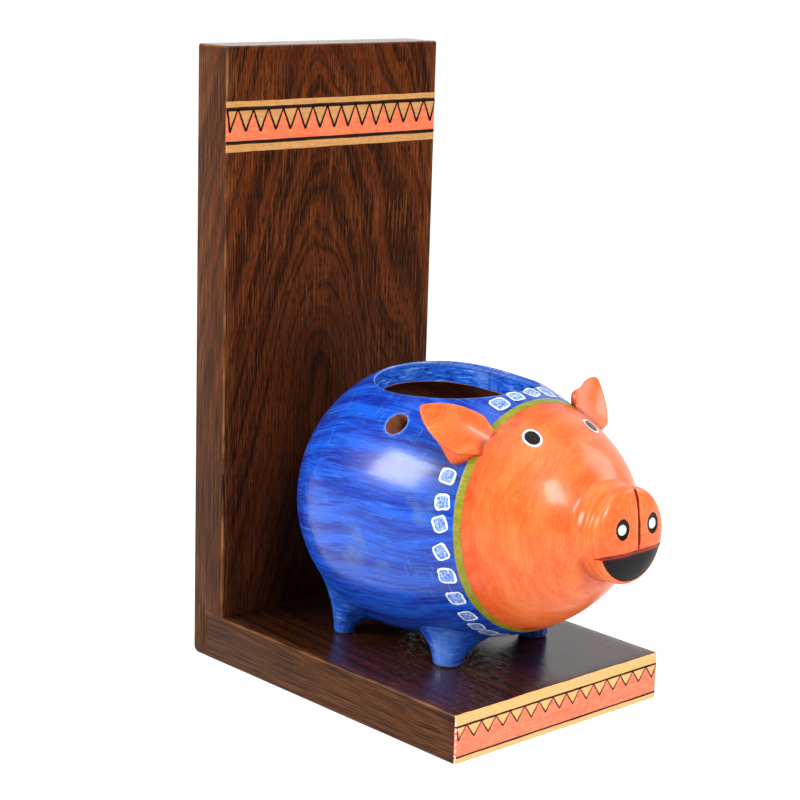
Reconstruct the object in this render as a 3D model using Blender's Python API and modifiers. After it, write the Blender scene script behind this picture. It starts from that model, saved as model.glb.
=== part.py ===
"""Pig pot on a wooden bookend: a hollow terracotta pig, open at the back, stuck to an L-shaped stand.

Metres, +Z up. The pig looks along -Y, the upright board stands at +Y, and X runs across the stand.
The origin is the centre of the base's underside.
"""

import math

import bpy

GAP = 0.0003  # left between pieces that touch

# The wooden stand: a 4 in by 9 in upright with the base let into its foot.
WIDTH = 0.1016
HEIGHT = 0.2286
LENGTH = 0.143
BASE_THICKNESS = 0.0175
UPRIGHT_THICKNESS = 0.017
REBATE = 0.55 * UPRIGHT_THICKNESS
EDGE_ROUND = 0.0008
FRONT = -LENGTH / 2
BACK = LENGTH / 2
UPRIGHT_FACE = BACK - UPRIGHT_THICKNESS

SCREW_SPREAD = 0.056
SCREW_LENGTH = 0.030
SHANK_RADIUS = 0.0019
HEAD_RADIUS = 0.0038
HEAD_DEPTH = 0.0026
HEAD_RECESS = 0.0005

# The pig's own axis, from its rump to its snout, through PIG_PLACE.
PIG_PLACE = (0.0022, 0.0098, 0.0675)
PIG_PITCH = math.radians(5.17)
SNOUT_NOD = math.radians(1.7)
SNOUT_DROP = 0.0007

# The thrown body is an egg about that axis. Distances along it grow toward the snout.
EGG_RADIUS = 0.04965
EGG_MIDDLE = 0.0145
EGG_REAR = 0.050
EGG_FRONT = 0.0876
EGG_REAR_POWER = 2.2
WALL = 0.0065
HOLLOW_FRONT = 0.074
SEAM = 0.0659
SEGMENTS = 64

SNOUT_START = 0.0970
SNOUT_END = 0.1098
SNOUT_RADIUS = 0.0166
SNOUT_ROUND = 0.0046
SNOUT_POWER = 2.8
GROOVE_WIDTH = 0.0007
GROOVE_DEPTH = 0.0009
LIP_DROP = 0.005

# The mouth of the pot, cut straight down through the back.
MOUTH_PLACE = (0.0015, -0.0132)
MOUTH_HALF_WIDTH = 0.0238
MOUTH_HALF_LENGTH = 0.0304
MOUTH_TURN = math.radians(11)

FLANK_HOLE_AT = 0.0319
FLANK_HOLE_TURN = math.radians(45.9)
FLANK_HOLE_RADIUS = 0.0043

# An ear is a cupped leaf. Its root and tip are (radius, place along the axis, turn from the top).
EAR_ROOT = (0.0395, 0.0655, math.radians(41))
EAR_TIP = (0.0604, 0.0538, math.radians(46.3))
EAR_HALF_WIDTH = 0.0112
EAR_CUP = 0.0035
EAR_THICKNESS = 0.0034

# A leg is a cone that flares up into the belly: place of the foot, radii at the foot and the top.
LEGS = {
    "leg_front_right": ((-0.0178, -0.0331), 0.0062, 0.0115),
    "leg_front_left": ((0.0285, -0.0300), 0.0062, 0.0115),
    "leg_rear_right": ((-0.0238, 0.0156), 0.0045, 0.0110),
    "leg_rear_left": ((0.0282, 0.0156), 0.0045, 0.0110),
}
LEG_TOP = 0.040
BOND_THICKNESS = 0.0006
FOOT_BOTTOM = BASE_THICKNESS + BOND_THICKNESS + 2 * GAP

TAIL_COIL_RADIUS = 0.0034
TAIL_RADIUS = 0.0015
TAIL_REACH = 0.0048
TAIL_TURNS = 1.25
TAIL_POINTS = 18

COLOURS = {
    "wood": (0.075, 0.028, 0.012, 0.0, 0.4),
    "blue_clay": (0.008, 0.045, 0.50, 0.0, 0.35),
    "orange_clay": (0.85, 0.19, 0.045, 0.0, 0.35),
    "steel": (0.55, 0.55, 0.56, 1.0, 0.35),
    "epoxy": (0.75, 0.70, 0.55, 0.0, 0.4),
}


def clear_scene():
    for obj in list(bpy.data.objects):
        bpy.data.objects.remove(obj)


def new_collection(name):
    collection = bpy.data.collections.new(name)
    bpy.context.scene.collection.children.link(collection)
    return collection


def material_for(name, colour):
    red, green, blue, metallic, roughness = COLOURS[colour]
    material = bpy.data.materials.new(name)
    material.use_nodes = True
    shader = material.node_tree.nodes["Principled BSDF"]
    shader.inputs["Base Color"].default_value = (red, green, blue, 1.0)
    shader.inputs["Metallic"].default_value = metallic
    shader.inputs["Roughness"].default_value = roughness
    return material


def adopt(obj, name, colour):
    """Names an object, gives it a material and puts it with the parts."""
    obj.name = name
    obj.data.name = name
    obj.data.materials.append(material_for(name, colour))
    move_to(obj, PARTS)
    return obj


def adopt_cutter(obj, name):
    obj.name = name
    obj.hide_render = True
    obj.display_type = "WIRE"
    move_to(obj, CUTTERS)
    return obj


def move_to(obj, collection):
    for other in list(obj.users_collection):
        other.objects.unlink(obj)
    collection.objects.link(obj)


def box(low, high):
    """A box from its lowest to its highest corner."""
    centre = [(a + b) / 2 for a, b in zip(low, high)]
    bpy.ops.mesh.primitive_cube_add(size=1, location=centre)
    obj = bpy.context.object
    obj.scale = [b - a for a, b in zip(low, high)]
    bpy.ops.object.transform_apply(location=False, rotation=False, scale=True)
    return obj


def turned(profile, steps=SEGMENTS):
    """A solid turned about Z from (radius, height) points that run down its outer side."""
    mesh = bpy.data.meshes.new("turned")
    points = [(radius, 0.0, height) for radius, height in profile]
    mesh.from_pydata(points, [(i, i + 1) for i in range(len(points) - 1)], [])
    obj = bpy.data.objects.new("turned", mesh)
    bpy.context.scene.collection.objects.link(obj)
    screw = obj.modifiers.new("turn", "SCREW")
    screw.axis = "Z"
    screw.angle = math.tau
    screw.steps = steps
    screw.render_steps = steps
    screw.use_merge_vertices = True
    screw.merge_threshold = 0.00001
    return obj


def cut(obj, cutter):
    boolean = obj.modifiers.new("cut by " + cutter.name, "BOOLEAN")
    boolean.operation = "DIFFERENCE"
    boolean.solver = "EXACT"
    boolean.object = cutter


def bevel(obj, width, segments=2):
    modifier = obj.modifiers.new("edges", "BEVEL")
    modifier.width = width
    modifier.segments = segments
    modifier.limit_method = "ANGLE"


def put_on_pig(obj, place=(0.0, 0.0, 0.0), rotation=(0.0, 0.0, 0.0)):
    """Places an object in the pig's own frame: X across, Y up and Z toward the snout."""
    obj.parent = PIG
    obj.location = place
    obj.rotation_euler = rotation
    return obj


# ---- the stand ----


def make_base_board():
    end = UPRIGHT_FACE + REBATE - GAP
    board = box((-WIDTH / 2, FRONT, 0.0), (WIDTH / 2, end, BASE_THICKNESS))
    bevel(board, EDGE_ROUND)
    return adopt(board, "base_board", "wood")


def make_upright_board():
    """The upright, with a rebate across its foot that the base's end sits in."""
    board = box((-WIDTH / 2, UPRIGHT_FACE, 0.0), (WIDTH / 2, BACK, HEIGHT))
    bevel(board, EDGE_ROUND)
    margin = 0.002
    seat = box(
        (-WIDTH / 2 - margin, UPRIGHT_FACE - margin, -margin),
        (WIDTH / 2 + margin, UPRIGHT_FACE + REBATE, BASE_THICKNESS + GAP),
    )
    cut(board, adopt_cutter(seat, "rebate_cutter"))
    return adopt(board, "upright_board", "wood")


def screw_profile(swell):
    """A countersunk screw with its head up at height zero, swollen on every side to make its hole."""
    shank = SHANK_RADIUS + swell
    return [
        (0.0, 0.0),
        (HEAD_RADIUS + swell, 0.0),
        (shank, -HEAD_DEPTH),
        (shank, -SCREW_LENGTH - swell),
        (0.0, -SCREW_LENGTH - swell),
    ]


def make_joint_screws(boards):
    """Two screws through the upright's lip into the end of the base."""
    mouth = [(0.0, 2 * HEAD_RECESS), (HEAD_RADIUS + GAP, 2 * HEAD_RECESS)]
    for side, x in (("right", -SCREW_SPREAD / 2), ("left", SCREW_SPREAD / 2)):
        screw = adopt(turned(screw_profile(0.0), 24), "joint_screw_" + side, "steel")
        hole = turned(mouth + screw_profile(GAP)[1:], 24)
        adopt_cutter(hole, "screw_hole_cutter_" + side)
        for obj in (screw, hole):
            obj.location = (x, BACK - HEAD_RECESS, BASE_THICKNESS / 2)
            obj.rotation_euler = (math.radians(-90), 0.0, 0.0)
        for board in boards:
            cut(board, hole)


# ---- the pig ----


def egg_outline(shrink, front, start, end, count):
    """(radius, distance) points of the egg, shrunk evenly, from one turn to another.

    The turn is 0 at the front pole, half pi at the widest ring and pi at the rump's pole.
    """
    points = []
    for i in range(count + 1):
        turn = start + (end - start) * i / count
        across = abs(math.sin(turn))
        along = math.cos(turn)
        if along < 0:
            power = 2 / EGG_REAR_POWER
            distance = EGG_MIDDLE - (EGG_REAR - shrink) * abs(along) ** power
            across = across**power
        else:
            distance = EGG_MIDDLE + front * along
        points.append(((EGG_RADIUS - shrink) * across, distance))
    return points


def turn_at(distance, front):
    """The egg's turn at a distance ahead of its middle."""
    return math.acos((distance - EGG_MIDDLE) / front)


def on_axis(point):
    return (0.0, point[1])


def make_body_shell():
    """The blue part of the pot: a shell with its mouth on top and one small round hole in its flank."""
    end = SEAM - GAP / 2
    outer = egg_outline(0.0, EGG_FRONT, turn_at(end, EGG_FRONT), math.pi, 24)
    inner = egg_outline(WALL, HOLLOW_FRONT, math.pi, turn_at(end, HOLLOW_FRONT), 18)
    outer[-1] = on_axis(outer[-1])
    inner[0] = on_axis(inner[0])
    shell = put_on_pig(adopt(turned(inner + outer), "body_shell", "blue_clay"))
    cut(shell, mouth_cutter())
    cut(shell, flank_hole_cutter())
    return shell


def mouth_cutter():
    top = PIG_PLACE[2] + EGG_RADIUS
    bpy.ops.mesh.primitive_cylinder_add(vertices=64, radius=1.0, depth=0.06)
    cutter = bpy.context.object
    cutter.scale = (MOUTH_HALF_WIDTH, MOUTH_HALF_LENGTH, 1.0)
    bpy.ops.object.transform_apply(location=False, rotation=False, scale=True)
    cutter.location = (*MOUTH_PLACE, top)
    cutter.rotation_euler = (0.0, 0.0, MOUTH_TURN)
    return adopt_cutter(cutter, "mouth_cutter")


def flank_hole_cutter():
    middle = EGG_RADIUS - WALL / 2
    bpy.ops.mesh.primitive_cylinder_add(vertices=32, radius=FLANK_HOLE_RADIUS, depth=0.03)
    cutter = bpy.context.object
    place = (
        -middle * math.sin(FLANK_HOLE_TURN),
        middle * math.cos(FLANK_HOLE_TURN),
        FLANK_HOLE_AT,
    )
    # The cylinder's own axis is turned from Z to point straight out of the pig's axis.
    put_on_pig(cutter, place, (math.radians(-90), 0.0, FLANK_HOLE_TURN))
    return adopt_cutter(cutter, "flank_hole_cutter")


def make_head_shell():
    """The orange front of the pot, closed at the snout and open toward the body."""
    start = SEAM + GAP / 2
    front = SNOUT_START - GAP
    outer = egg_outline(0.0, EGG_FRONT, turn_at(front, EGG_FRONT), turn_at(start, EGG_FRONT), 14)
    inner = egg_outline(WALL, HOLLOW_FRONT, turn_at(start, HOLLOW_FRONT), 0.0, 12)
    inner[-1] = on_axis(inner[-1])
    profile = [(0.0, front), *outer, *inner]
    return put_on_pig(adopt(turned(profile), "head_shell", "orange_clay"))


def make_snout():
    """A round plug with a full face, an upright groove between the nostrils and a level lip line."""
    length = SNOUT_END - SNOUT_START
    count = 10
    rim = []
    for i in range(count + 1):
        turn = math.pi / 2 * i / count
        out = math.sin(turn) ** (2 / SNOUT_POWER)
        ahead = math.cos(turn) ** (2 / SNOUT_POWER)
        rim.append((SNOUT_RADIUS * out, length - SNOUT_ROUND * (1 - ahead)))
    rim[0] = on_axis(rim[0])
    profile = [*rim, (SNOUT_RADIUS, 0.0), (0.0, 0.0)]
    snout = adopt(turned(profile), "snout", "orange_clay")
    face = length - GROOVE_DEPTH
    lip_bottom = -LIP_DROP - 2 * GROOVE_WIDTH
    lip_half = SNOUT_RADIUS * 0.8
    groove_top = SNOUT_RADIUS * 0.7
    groove = box((-GROOVE_WIDTH / 2, -LIP_DROP, face), (GROOVE_WIDTH / 2, groove_top, length * 2))
    lip = box((-lip_half, lip_bottom, face), (lip_half, -LIP_DROP, length * 2))
    for cutter, name in ((groove, "groove_cutter"), (lip, "lip_cutter")):
        cut(snout, adopt_cutter(cutter, name))
        cutter.parent = snout
    # The face nods down a little, and the snout stands forward enough to clear the head.
    clear = SNOUT_RADIUS * math.tan(SNOUT_NOD)
    return put_on_pig(snout, (0.0, -SNOUT_DROP, SNOUT_START + clear), (SNOUT_NOD, 0.0, 0.0))


def egg_cutter(name):
    """The solid egg with a little clearance, which trims what is stuck on to it."""
    profile = egg_outline(-GAP, EGG_FRONT, 0.0, math.pi, 36)
    profile[0] = on_axis(profile[0])
    profile[-1] = on_axis(profile[-1])
    return adopt_cutter(put_on_pig(turned(profile)), name)


def pig_point(radius, along, turn):
    return (-radius * math.sin(turn), radius * math.cos(turn), along)


def ear_grid(side, rows=8, columns=6):
    """Rows of a cupped leaf from its root to its tip; side is 1 for the pig's right ear, -1 for its left."""
    root = pig_point(*EAR_ROOT)
    tip = pig_point(*EAR_TIP)
    across = (-math.cos(EAR_ROOT[2]), -math.sin(EAR_ROOT[2]), 0.0)
    along = [b - a for a, b in zip(root, tip)]
    out = cross(across, along)
    points = []
    for i in range(rows + 1):
        u = i / rows
        half = EAR_HALF_WIDTH * (1.0 - u**2.2) ** 0.7 * (0.9 + 0.35 * u)
        for j in range(columns + 1):
            v = -1.0 + 2.0 * j / columns
            lift = EAR_CUP * (1.0 - v * v) * (1.0 - 0.6 * u)
            frame = zip(root, along, across, out)
            point = [r + a * u + c * half * v + n * lift for r, a, c, n in frame]
            point[0] *= side
            points.append(point)
    faces = []
    for i in range(rows):
        for j in range(columns):
            first = i * (columns + 1) + j
            face = (first, first + 1, first + columns + 2, first + columns + 1)
            faces.append(face if side > 0 else face[::-1])
    return points, faces


def cross(a, b):
    result = (a[1] * b[2] - a[2] * b[1], a[2] * b[0] - a[0] * b[2], a[0] * b[1] - a[1] * b[0])
    size = math.sqrt(sum(value * value for value in result))
    return [value / size for value in result]


def make_ear(name, side, cutter):
    points, faces = ear_grid(side)
    mesh = bpy.data.meshes.new(name)
    mesh.from_pydata(points, [], faces)
    ear = bpy.data.objects.new(name, mesh)
    bpy.context.scene.collection.objects.link(ear)
    thicken = ear.modifiers.new("thickness", "SOLIDIFY")
    thicken.thickness = EAR_THICKNESS
    thicken.offset = 0.0
    smooth = ear.modifiers.new("smooth", "SUBSURF")
    smooth.levels = 1
    smooth.render_levels = 1
    cut(ear, cutter)
    return put_on_pig(adopt(ear, name, "orange_clay"))


def make_leg(name, place, foot_radius, top_radius, cutter):
    """A cone from the foot up into the belly, trimmed to the belly's curve."""
    height = LEG_TOP - FOOT_BOTTOM
    flare = (top_radius - foot_radius) / height**2
    profile = [(0.0, height)]
    for i in range(10, 0, -1):
        z = height * i / 10
        profile.append((foot_radius + flare * z * z, z))
    profile += [(foot_radius * 0.97, 0.0005), (foot_radius * 0.85, 0.0), (0.0, 0.0)]
    leg = turned(profile, 32)
    leg.location = (*place, FOOT_BOTTOM)
    cut(leg, cutter)
    return adopt(leg, name, "blue_clay")


def make_foot_bond(name, place, radius):
    """The dab of epoxy that holds one foot to the base."""
    centre = BASE_THICKNESS + GAP + BOND_THICKNESS / 2
    bpy.ops.mesh.primitive_cylinder_add(
        vertices=32, radius=radius, depth=BOND_THICKNESS, location=(*place, centre)
    )
    return adopt(bpy.context.object, name, "epoxy")


def make_tail():
    """A small curl of clay that starts on the rump and turns down."""
    curve = bpy.data.curves.new("tail", "CURVE")
    curve.dimensions = "3D"
    curve.bevel_depth = TAIL_RADIUS
    curve.bevel_resolution = 2
    curve.use_fill_caps = True
    spline = curve.splines.new("POLY")
    spline.points.add(TAIL_POINTS - 1)
    for i, point in enumerate(spline.points):
        u = i / (TAIL_POINTS - 1)
        turn = math.tau * TAIL_TURNS * u
        radius = TAIL_COIL_RADIUS * (1.0 - 0.35 * u)
        back = TAIL_RADIUS + 2 * GAP + TAIL_REACH * u
        point.co = (radius * math.sin(turn), radius * math.cos(turn), EGG_MIDDLE - EGG_REAR - back, 1.0)
        point.radius = 1.0 - 0.45 * u
    tail = bpy.data.objects.new("tail", curve)
    bpy.context.scene.collection.objects.link(tail)
    return put_on_pig(adopt(tail, "tail", "blue_clay"))


def main():
    boards = [make_upright_board(), make_base_board()]
    make_joint_screws(boards)
    make_body_shell()
    make_head_shell()
    make_snout()
    make_ear("ear_right", 1, egg_cutter("ear_right_trim"))
    make_ear("ear_left", -1, egg_cutter("ear_left_trim"))
    belly = egg_cutter("leg_trim")
    for name, (place, foot_radius, top_radius) in LEGS.items():
        make_leg(name, place, foot_radius, top_radius, belly)
        make_foot_bond(name.replace("leg", "foot_bond"), place, foot_radius * 0.8)
    make_tail()


clear_scene()
PARTS = new_collection("pig_bookend")
CUTTERS = new_collection("cutters")
CUTTERS.hide_render = True
PIG = bpy.data.objects.new("pig_frame", None)
PIG.location = PIG_PLACE
PIG.rotation_euler = (math.radians(90) - PIG_PITCH, 0.0, 0.0)
bpy.context.scene.collection.objects.link(PIG)
main()
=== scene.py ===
"""The looks of the pig pot bookend: a hand-painted terracotta pig on a varnished hardwood stand.

Metres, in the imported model's frame: +Z up, the pig looks along -Y, and X runs across the stand.
"""

import math

import bmesh
import bpy
import numpy as np
from mathutils import Matrix, Vector


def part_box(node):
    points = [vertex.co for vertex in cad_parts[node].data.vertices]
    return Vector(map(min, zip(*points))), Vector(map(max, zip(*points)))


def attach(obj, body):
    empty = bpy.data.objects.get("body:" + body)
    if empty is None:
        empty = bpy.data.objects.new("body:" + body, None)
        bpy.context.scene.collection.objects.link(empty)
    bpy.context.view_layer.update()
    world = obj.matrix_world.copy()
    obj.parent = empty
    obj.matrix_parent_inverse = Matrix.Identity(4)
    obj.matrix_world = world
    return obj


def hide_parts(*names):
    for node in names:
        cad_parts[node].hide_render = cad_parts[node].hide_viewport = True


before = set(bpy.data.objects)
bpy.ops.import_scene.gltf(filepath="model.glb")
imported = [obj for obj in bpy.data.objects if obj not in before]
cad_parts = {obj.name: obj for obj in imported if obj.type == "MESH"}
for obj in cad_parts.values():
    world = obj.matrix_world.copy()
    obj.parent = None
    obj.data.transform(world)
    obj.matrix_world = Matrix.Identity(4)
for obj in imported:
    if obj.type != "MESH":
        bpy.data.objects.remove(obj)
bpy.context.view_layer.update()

MM = 0.001
LIFT = 0.05 * MM  # between one coat of paint and the next


def node_box(name):
    low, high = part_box(name)
    return np.array(low), np.array(high)


# ---- places and sizes, from the frame ----

BASE_LOW, BASE_HIGH = node_box("base_board")
UPRIGHT_LOW, UPRIGHT_HIGH = node_box("upright_board")
POT_LOW, POT_HIGH = node_box("body_shell")
BASE_TOP = BASE_HIGH[2]
HALF_WIDTH = BASE_HIGH[0]
FRONT = BASE_LOW[1]
BACK = UPRIGHT_HIGH[1]
HEIGHT = UPRIGHT_HIGH[2]
EDGE_ROUND = 0.8 * MM
UPRIGHT_FACE = UPRIGHT_LOW[1]

# The pig's own frame: across, up and ahead (toward the snout), from a point on its axis.
PITCH = math.radians(5.17)
PLACE = np.array([(POT_LOW[0] + POT_HIGH[0]) / 2, 9.8 * MM, 67.5 * MM])
ACROSS = np.array([1.0, 0.0, 0.0])
UP = np.array([0.0, math.sin(PITCH), math.cos(PITCH)])
AHEAD = np.array([0.0, -math.cos(PITCH), math.sin(PITCH)])

EGG_RADIUS = (POT_HIGH[0] - POT_LOW[0]) / 2
EGG_MIDDLE = 14.5 * MM
EGG_REAR = 50.0 * MM
EGG_FRONT = 87.6 * MM
EGG_POWER = 2.2
WALL = 6.5 * MM
HOLLOW_FRONT = 74.0 * MM
SEAM = 65.9 * MM

SNOUT_ROOT = 97.0 * MM
SNOUT_END = 109.9 * MM
SNOUT_RADIUS = 16.6 * MM
SNOUT_ROUND = 4.6 * MM
SNOUT_POWER = 2.8
SNOUT_NOD = math.tan(math.radians(1.7))
SNOUT_DROP = 0.7 * MM
FILLET = 2.4 * MM

MOUTH_CENTRE = np.array([1.5, -13.2]) * MM
MOUTH_HALF = np.array([23.8, 30.4]) * MM
MOUTH_TURN = math.radians(11)
MOUTH_POWER = 2.3
LIP_RAISE = 1.6 * MM

HOLE_AT = 31.9 * MM
HOLE_TURN = math.radians(45.9)
HOLE_RADIUS = 4.3 * MM

# The pig's right ear, as (across, up, ahead): its root and tip stand out from the pig's axis.
EAR_ROOT_TURN = math.radians(41)
EAR_TIP_TURN = math.radians(45.2)
EAR_ROOT = np.array([39.0 * math.sin(EAR_ROOT_TURN), 39.0 * math.cos(EAR_ROOT_TURN), 66.0]) * MM
EAR_TIP = np.array([61.2 * math.sin(EAR_TIP_TURN), 61.2 * math.cos(EAR_TIP_TURN), 53.8]) * MM
EAR_WIDTH = 10.2 * MM
EAR_WEB = 5.6 * MM
EAR_CUP = 2.6 * MM
EAR_THICKNESS = 2.6 * MM

# On the snout's face, across and up from its centre.
GROOVE_X = 1.8 * MM
LIP_UP = -5.0 * MM
NOSTRILS = ((-6.2 * MM, 3.5 * MM), (9.0 * MM, 3.3 * MM))

BRUSH_RADIUS = 45.0  # millimetres; turns an angle round the pig into a length of brush stroke


# ---- small shape helpers ----


def blend(a, b, t):
    return a + (b - a) * t


def smoothstep(low, high, value):
    t = np.clip((value - low) / (high - low), 0.0, 1.0)
    return t * t * (3.0 - 2.0 * t)


def ripple(t, seed):
    """A smooth, irregular wave of height about one."""
    return (
        0.5 * np.sin(2.1 * t + seed)
        + 0.3 * np.sin(4.7 * t + 2.3 * seed)
        + 0.2 * np.sin(9.3 * t + 3.7 * seed)
    )


def wobble(points):
    """How far the hand-thrown clay strays from a true egg."""
    x, y, z = (points[..., i] / MM for i in range(3))
    slow = np.sin(0.085 * x + 0.05 * y + 1.0) + np.sin(0.07 * y - 0.06 * z + 2.0)
    quick = np.sin(0.19 * z + 0.11 * x) + np.sin(0.16 * y + 0.13 * z + 0.5)
    return (0.10 * slow + 0.04 * quick) * MM


def bezier(a, b, c, count):
    """Rows of points along a curve from a to c, pulled toward b."""
    rows = []
    for t in np.linspace(0.0, 1.0, count):
        rows.append(a * (1 - t) ** 2 + b * 2 * t * (1 - t) + c * t * t)
    return rows


def superellipse(angle, power):
    """Points of a rounded square or circle of radius one."""
    c, s = np.cos(angle), np.sin(angle)
    return np.sign(c) * abs(c) ** (2 / power), np.sign(s) * abs(s) ** (2 / power)


def ring_angles(count):
    return np.linspace(0.0, math.tau, count, endpoint=False)


def from_pig(x, up, ahead):
    x, up, ahead = (np.asarray(value)[..., None] for value in (x, up, ahead))
    return PLACE + x * ACROSS + up * UP + ahead * AHEAD


def round_pig(radius, turn, ahead):
    """Points at a radius from the pig's axis; turn is 0 at the top and grows toward its right."""
    return from_pig(-radius * np.sin(turn), radius * np.cos(turn), ahead)


def to_pig(points):
    offset = points - PLACE
    return offset @ ACROSS, offset @ UP, offset @ AHEAD


def egg_radius(ahead, shrink=0.0, front=EGG_FRONT):
    """The egg's radius at a distance along its axis."""
    u = ahead - EGG_MIDDLE
    rear = np.clip(-u / (EGG_REAR - shrink), 0.0, 1.0) ** EGG_POWER
    fore = np.clip(u / front, 0.0, 1.0) ** 2
    share = np.where(u < 0, (1 - rear) ** (1 / EGG_POWER), np.sqrt(1 - fore))
    return (EGG_RADIUS - shrink) * share


def egg_surface(ahead, turn, lift=0.0):
    """Points on the painted clay."""
    step = 0.05 * MM
    slope = (egg_radius(ahead + step) - egg_radius(ahead - step)) / (2 * step)
    size = np.sqrt(1 + slope**2)
    normal_out = 1 / size
    normal_ahead = -slope / size
    radius = egg_radius(ahead)
    true = round_pig(radius, turn, ahead)
    height = wobble(true) + lift
    radius = radius + height * normal_out
    ahead = ahead + height * normal_ahead
    return lip_raise(round_pig(radius, turn, ahead))


def hit_egg(origin, direction, shrink=0.0, front=EGG_FRONT):
    """Where rays from inside the egg meet its surface."""
    low = np.zeros(direction.shape[:-1])
    high = np.full(direction.shape[:-1], 0.15)
    for _ in range(40):  # halvings
        middle = (low + high) / 2
        x, up, ahead = to_pig(origin + middle[..., None] * direction)
        inside = np.hypot(x, up) < egg_radius(ahead, shrink, front)
        low = np.where(inside, middle, low)
        high = np.where(inside, high, middle)
    return origin + low[..., None] * direction


def mouth_outline(count):
    c, s = superellipse(ring_angles(count), MOUTH_POWER)
    x, y = c * MOUTH_HALF[0], s * MOUTH_HALF[1]
    turn_c, turn_s = math.cos(MOUTH_TURN), math.sin(MOUTH_TURN)
    return MOUTH_CENTRE + np.stack([x * turn_c - y * turn_s, x * turn_s + y * turn_c], axis=1)


def mouth_rim(count, shrink=0.0, front=EGG_FRONT):
    """Where the upright wall of the mouth meets the egg."""
    xy = mouth_outline(count)
    below = np.column_stack([xy, np.full(count, PLACE[2])])
    return hit_egg(below, np.tile([0.0, 0.0, 1.0], (count, 1)), shrink, front)


def lip_raise(points):
    """Lifts the clay near the rim, most on the pig's left, where a thumb pushed it up."""
    nearest = np.full(points.shape[:-1], np.inf)
    for place in RIM:
        nearest = np.minimum(nearest, np.sum((points - place) ** 2, axis=-1))
    facing = np.clip((points[..., 0] - MOUTH_CENTRE[0]) / MOUTH_HALF[0], 0.0, 1.0)
    height = LIP_RAISE * (0.12 + 0.88 * facing) * np.exp(-nearest / (9 * MM) ** 2)
    return points + height[..., None] * np.array([0.0, 0.0, 1.0])


RIM = mouth_rim(180)


# ---- meshes and pieces ----


def grid_mesh(name, rows, wrap=True):
    """A mesh through rows of points; wrap joins each row's end to its start."""
    grid = np.array(rows)
    count, columns, _ = grid.shape
    i = np.arange(count - 1)[:, None]
    j = np.arange(columns if wrap else columns - 1)[None, :]
    following = (j + 1) % columns
    corners = (i * columns + j, i * columns + following, (i + 1) * columns + following, (i + 1) * columns + j)
    faces = np.stack(corners, axis=-1).reshape(-1, 4)
    mesh = bpy.data.meshes.new(name)
    mesh.from_pydata(grid.reshape(-1, 3).tolist(), [], faces.tolist())
    return mesh


def edit(mesh, work):
    """Runs work on the mesh as a bmesh."""
    bm = bmesh.new()
    bm.from_mesh(mesh)
    work(bm)
    bm.to_mesh(mesh)
    bm.free()
    return mesh


def vertex_places(mesh):
    return np.array([vertex.co for vertex in mesh.vertices])


def face_centres(mesh):
    return np.array([face.center for face in mesh.polygons])


def pinched(row):
    """A row as long as another, with every point at its middle, to close a mesh."""
    return np.tile(row.mean(axis=0), (len(row), 1))


def store(mesh, name, values):
    """Keeps a number for each vertex, for the materials to read."""
    attribute = mesh.attributes.new(name, "FLOAT", "POINT")
    attribute.data.foreach_set("value", np.asarray(values, dtype=np.float32))


def weld(mesh):
    def work(bm):
        bmesh.ops.remove_doubles(bm, verts=bm.verts, dist=0.002 * MM)
        bmesh.ops.recalc_face_normals(bm, faces=bm.faces)

    return edit(mesh, work)


def smooth(mesh, sharp_degrees=50.0):
    def work(bm):
        limit = math.radians(sharp_degrees)
        for face in bm.faces:
            face.smooth = True
        for edge in bm.edges:
            edge.smooth = len(edge.link_faces) != 2 or edge.calc_face_angle(0.0) < limit

    return edit(mesh, work)


def drilled(mesh, centre, direction, radius, depth):
    """The mesh with a round hole cut at centre, depth long to both sides."""
    bpy.ops.mesh.primitive_cylinder_add(vertices=48, radius=radius, depth=2 * depth)
    drill = bpy.context.object
    turn = Vector(direction).to_track_quat("Z", "Y").to_matrix().to_4x4()
    drill.matrix_world = Matrix.Translation(Vector(centre)) @ turn
    blank = bpy.data.objects.new("blank", mesh)
    bpy.context.scene.collection.objects.link(blank)
    cut = blank.modifiers.new("hole", "BOOLEAN")
    cut.operation = "DIFFERENCE"
    cut.solver = "EXACT"
    cut.object = drill
    bpy.context.view_layer.update()
    result = bpy.data.meshes.new_from_object(blank.evaluated_get(bpy.context.evaluated_depsgraph_get()))
    bpy.data.objects.remove(blank)
    bpy.data.objects.remove(drill)
    return result


def piece(name, mesh, materials, replaced=()):
    mesh.name = name
    for material in materials:
        mesh.materials.append(material)
    obj = bpy.data.objects.new(name, mesh)
    bpy.context.scene.collection.objects.link(obj)
    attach(obj, "root")
    if replaced:
        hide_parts(*replaced)


# ---- material helpers ----


def srgb(red, green, blue):
    """A colour given as it looks on a screen, from 0 to 255."""
    values = [value / 255 for value in (red, green, blue)]
    linear = [v / 12.92 if v <= 0.04045 else ((v + 0.055) / 1.055) ** 2.4 for v in values]
    return (*linear, 1.0)


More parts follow.
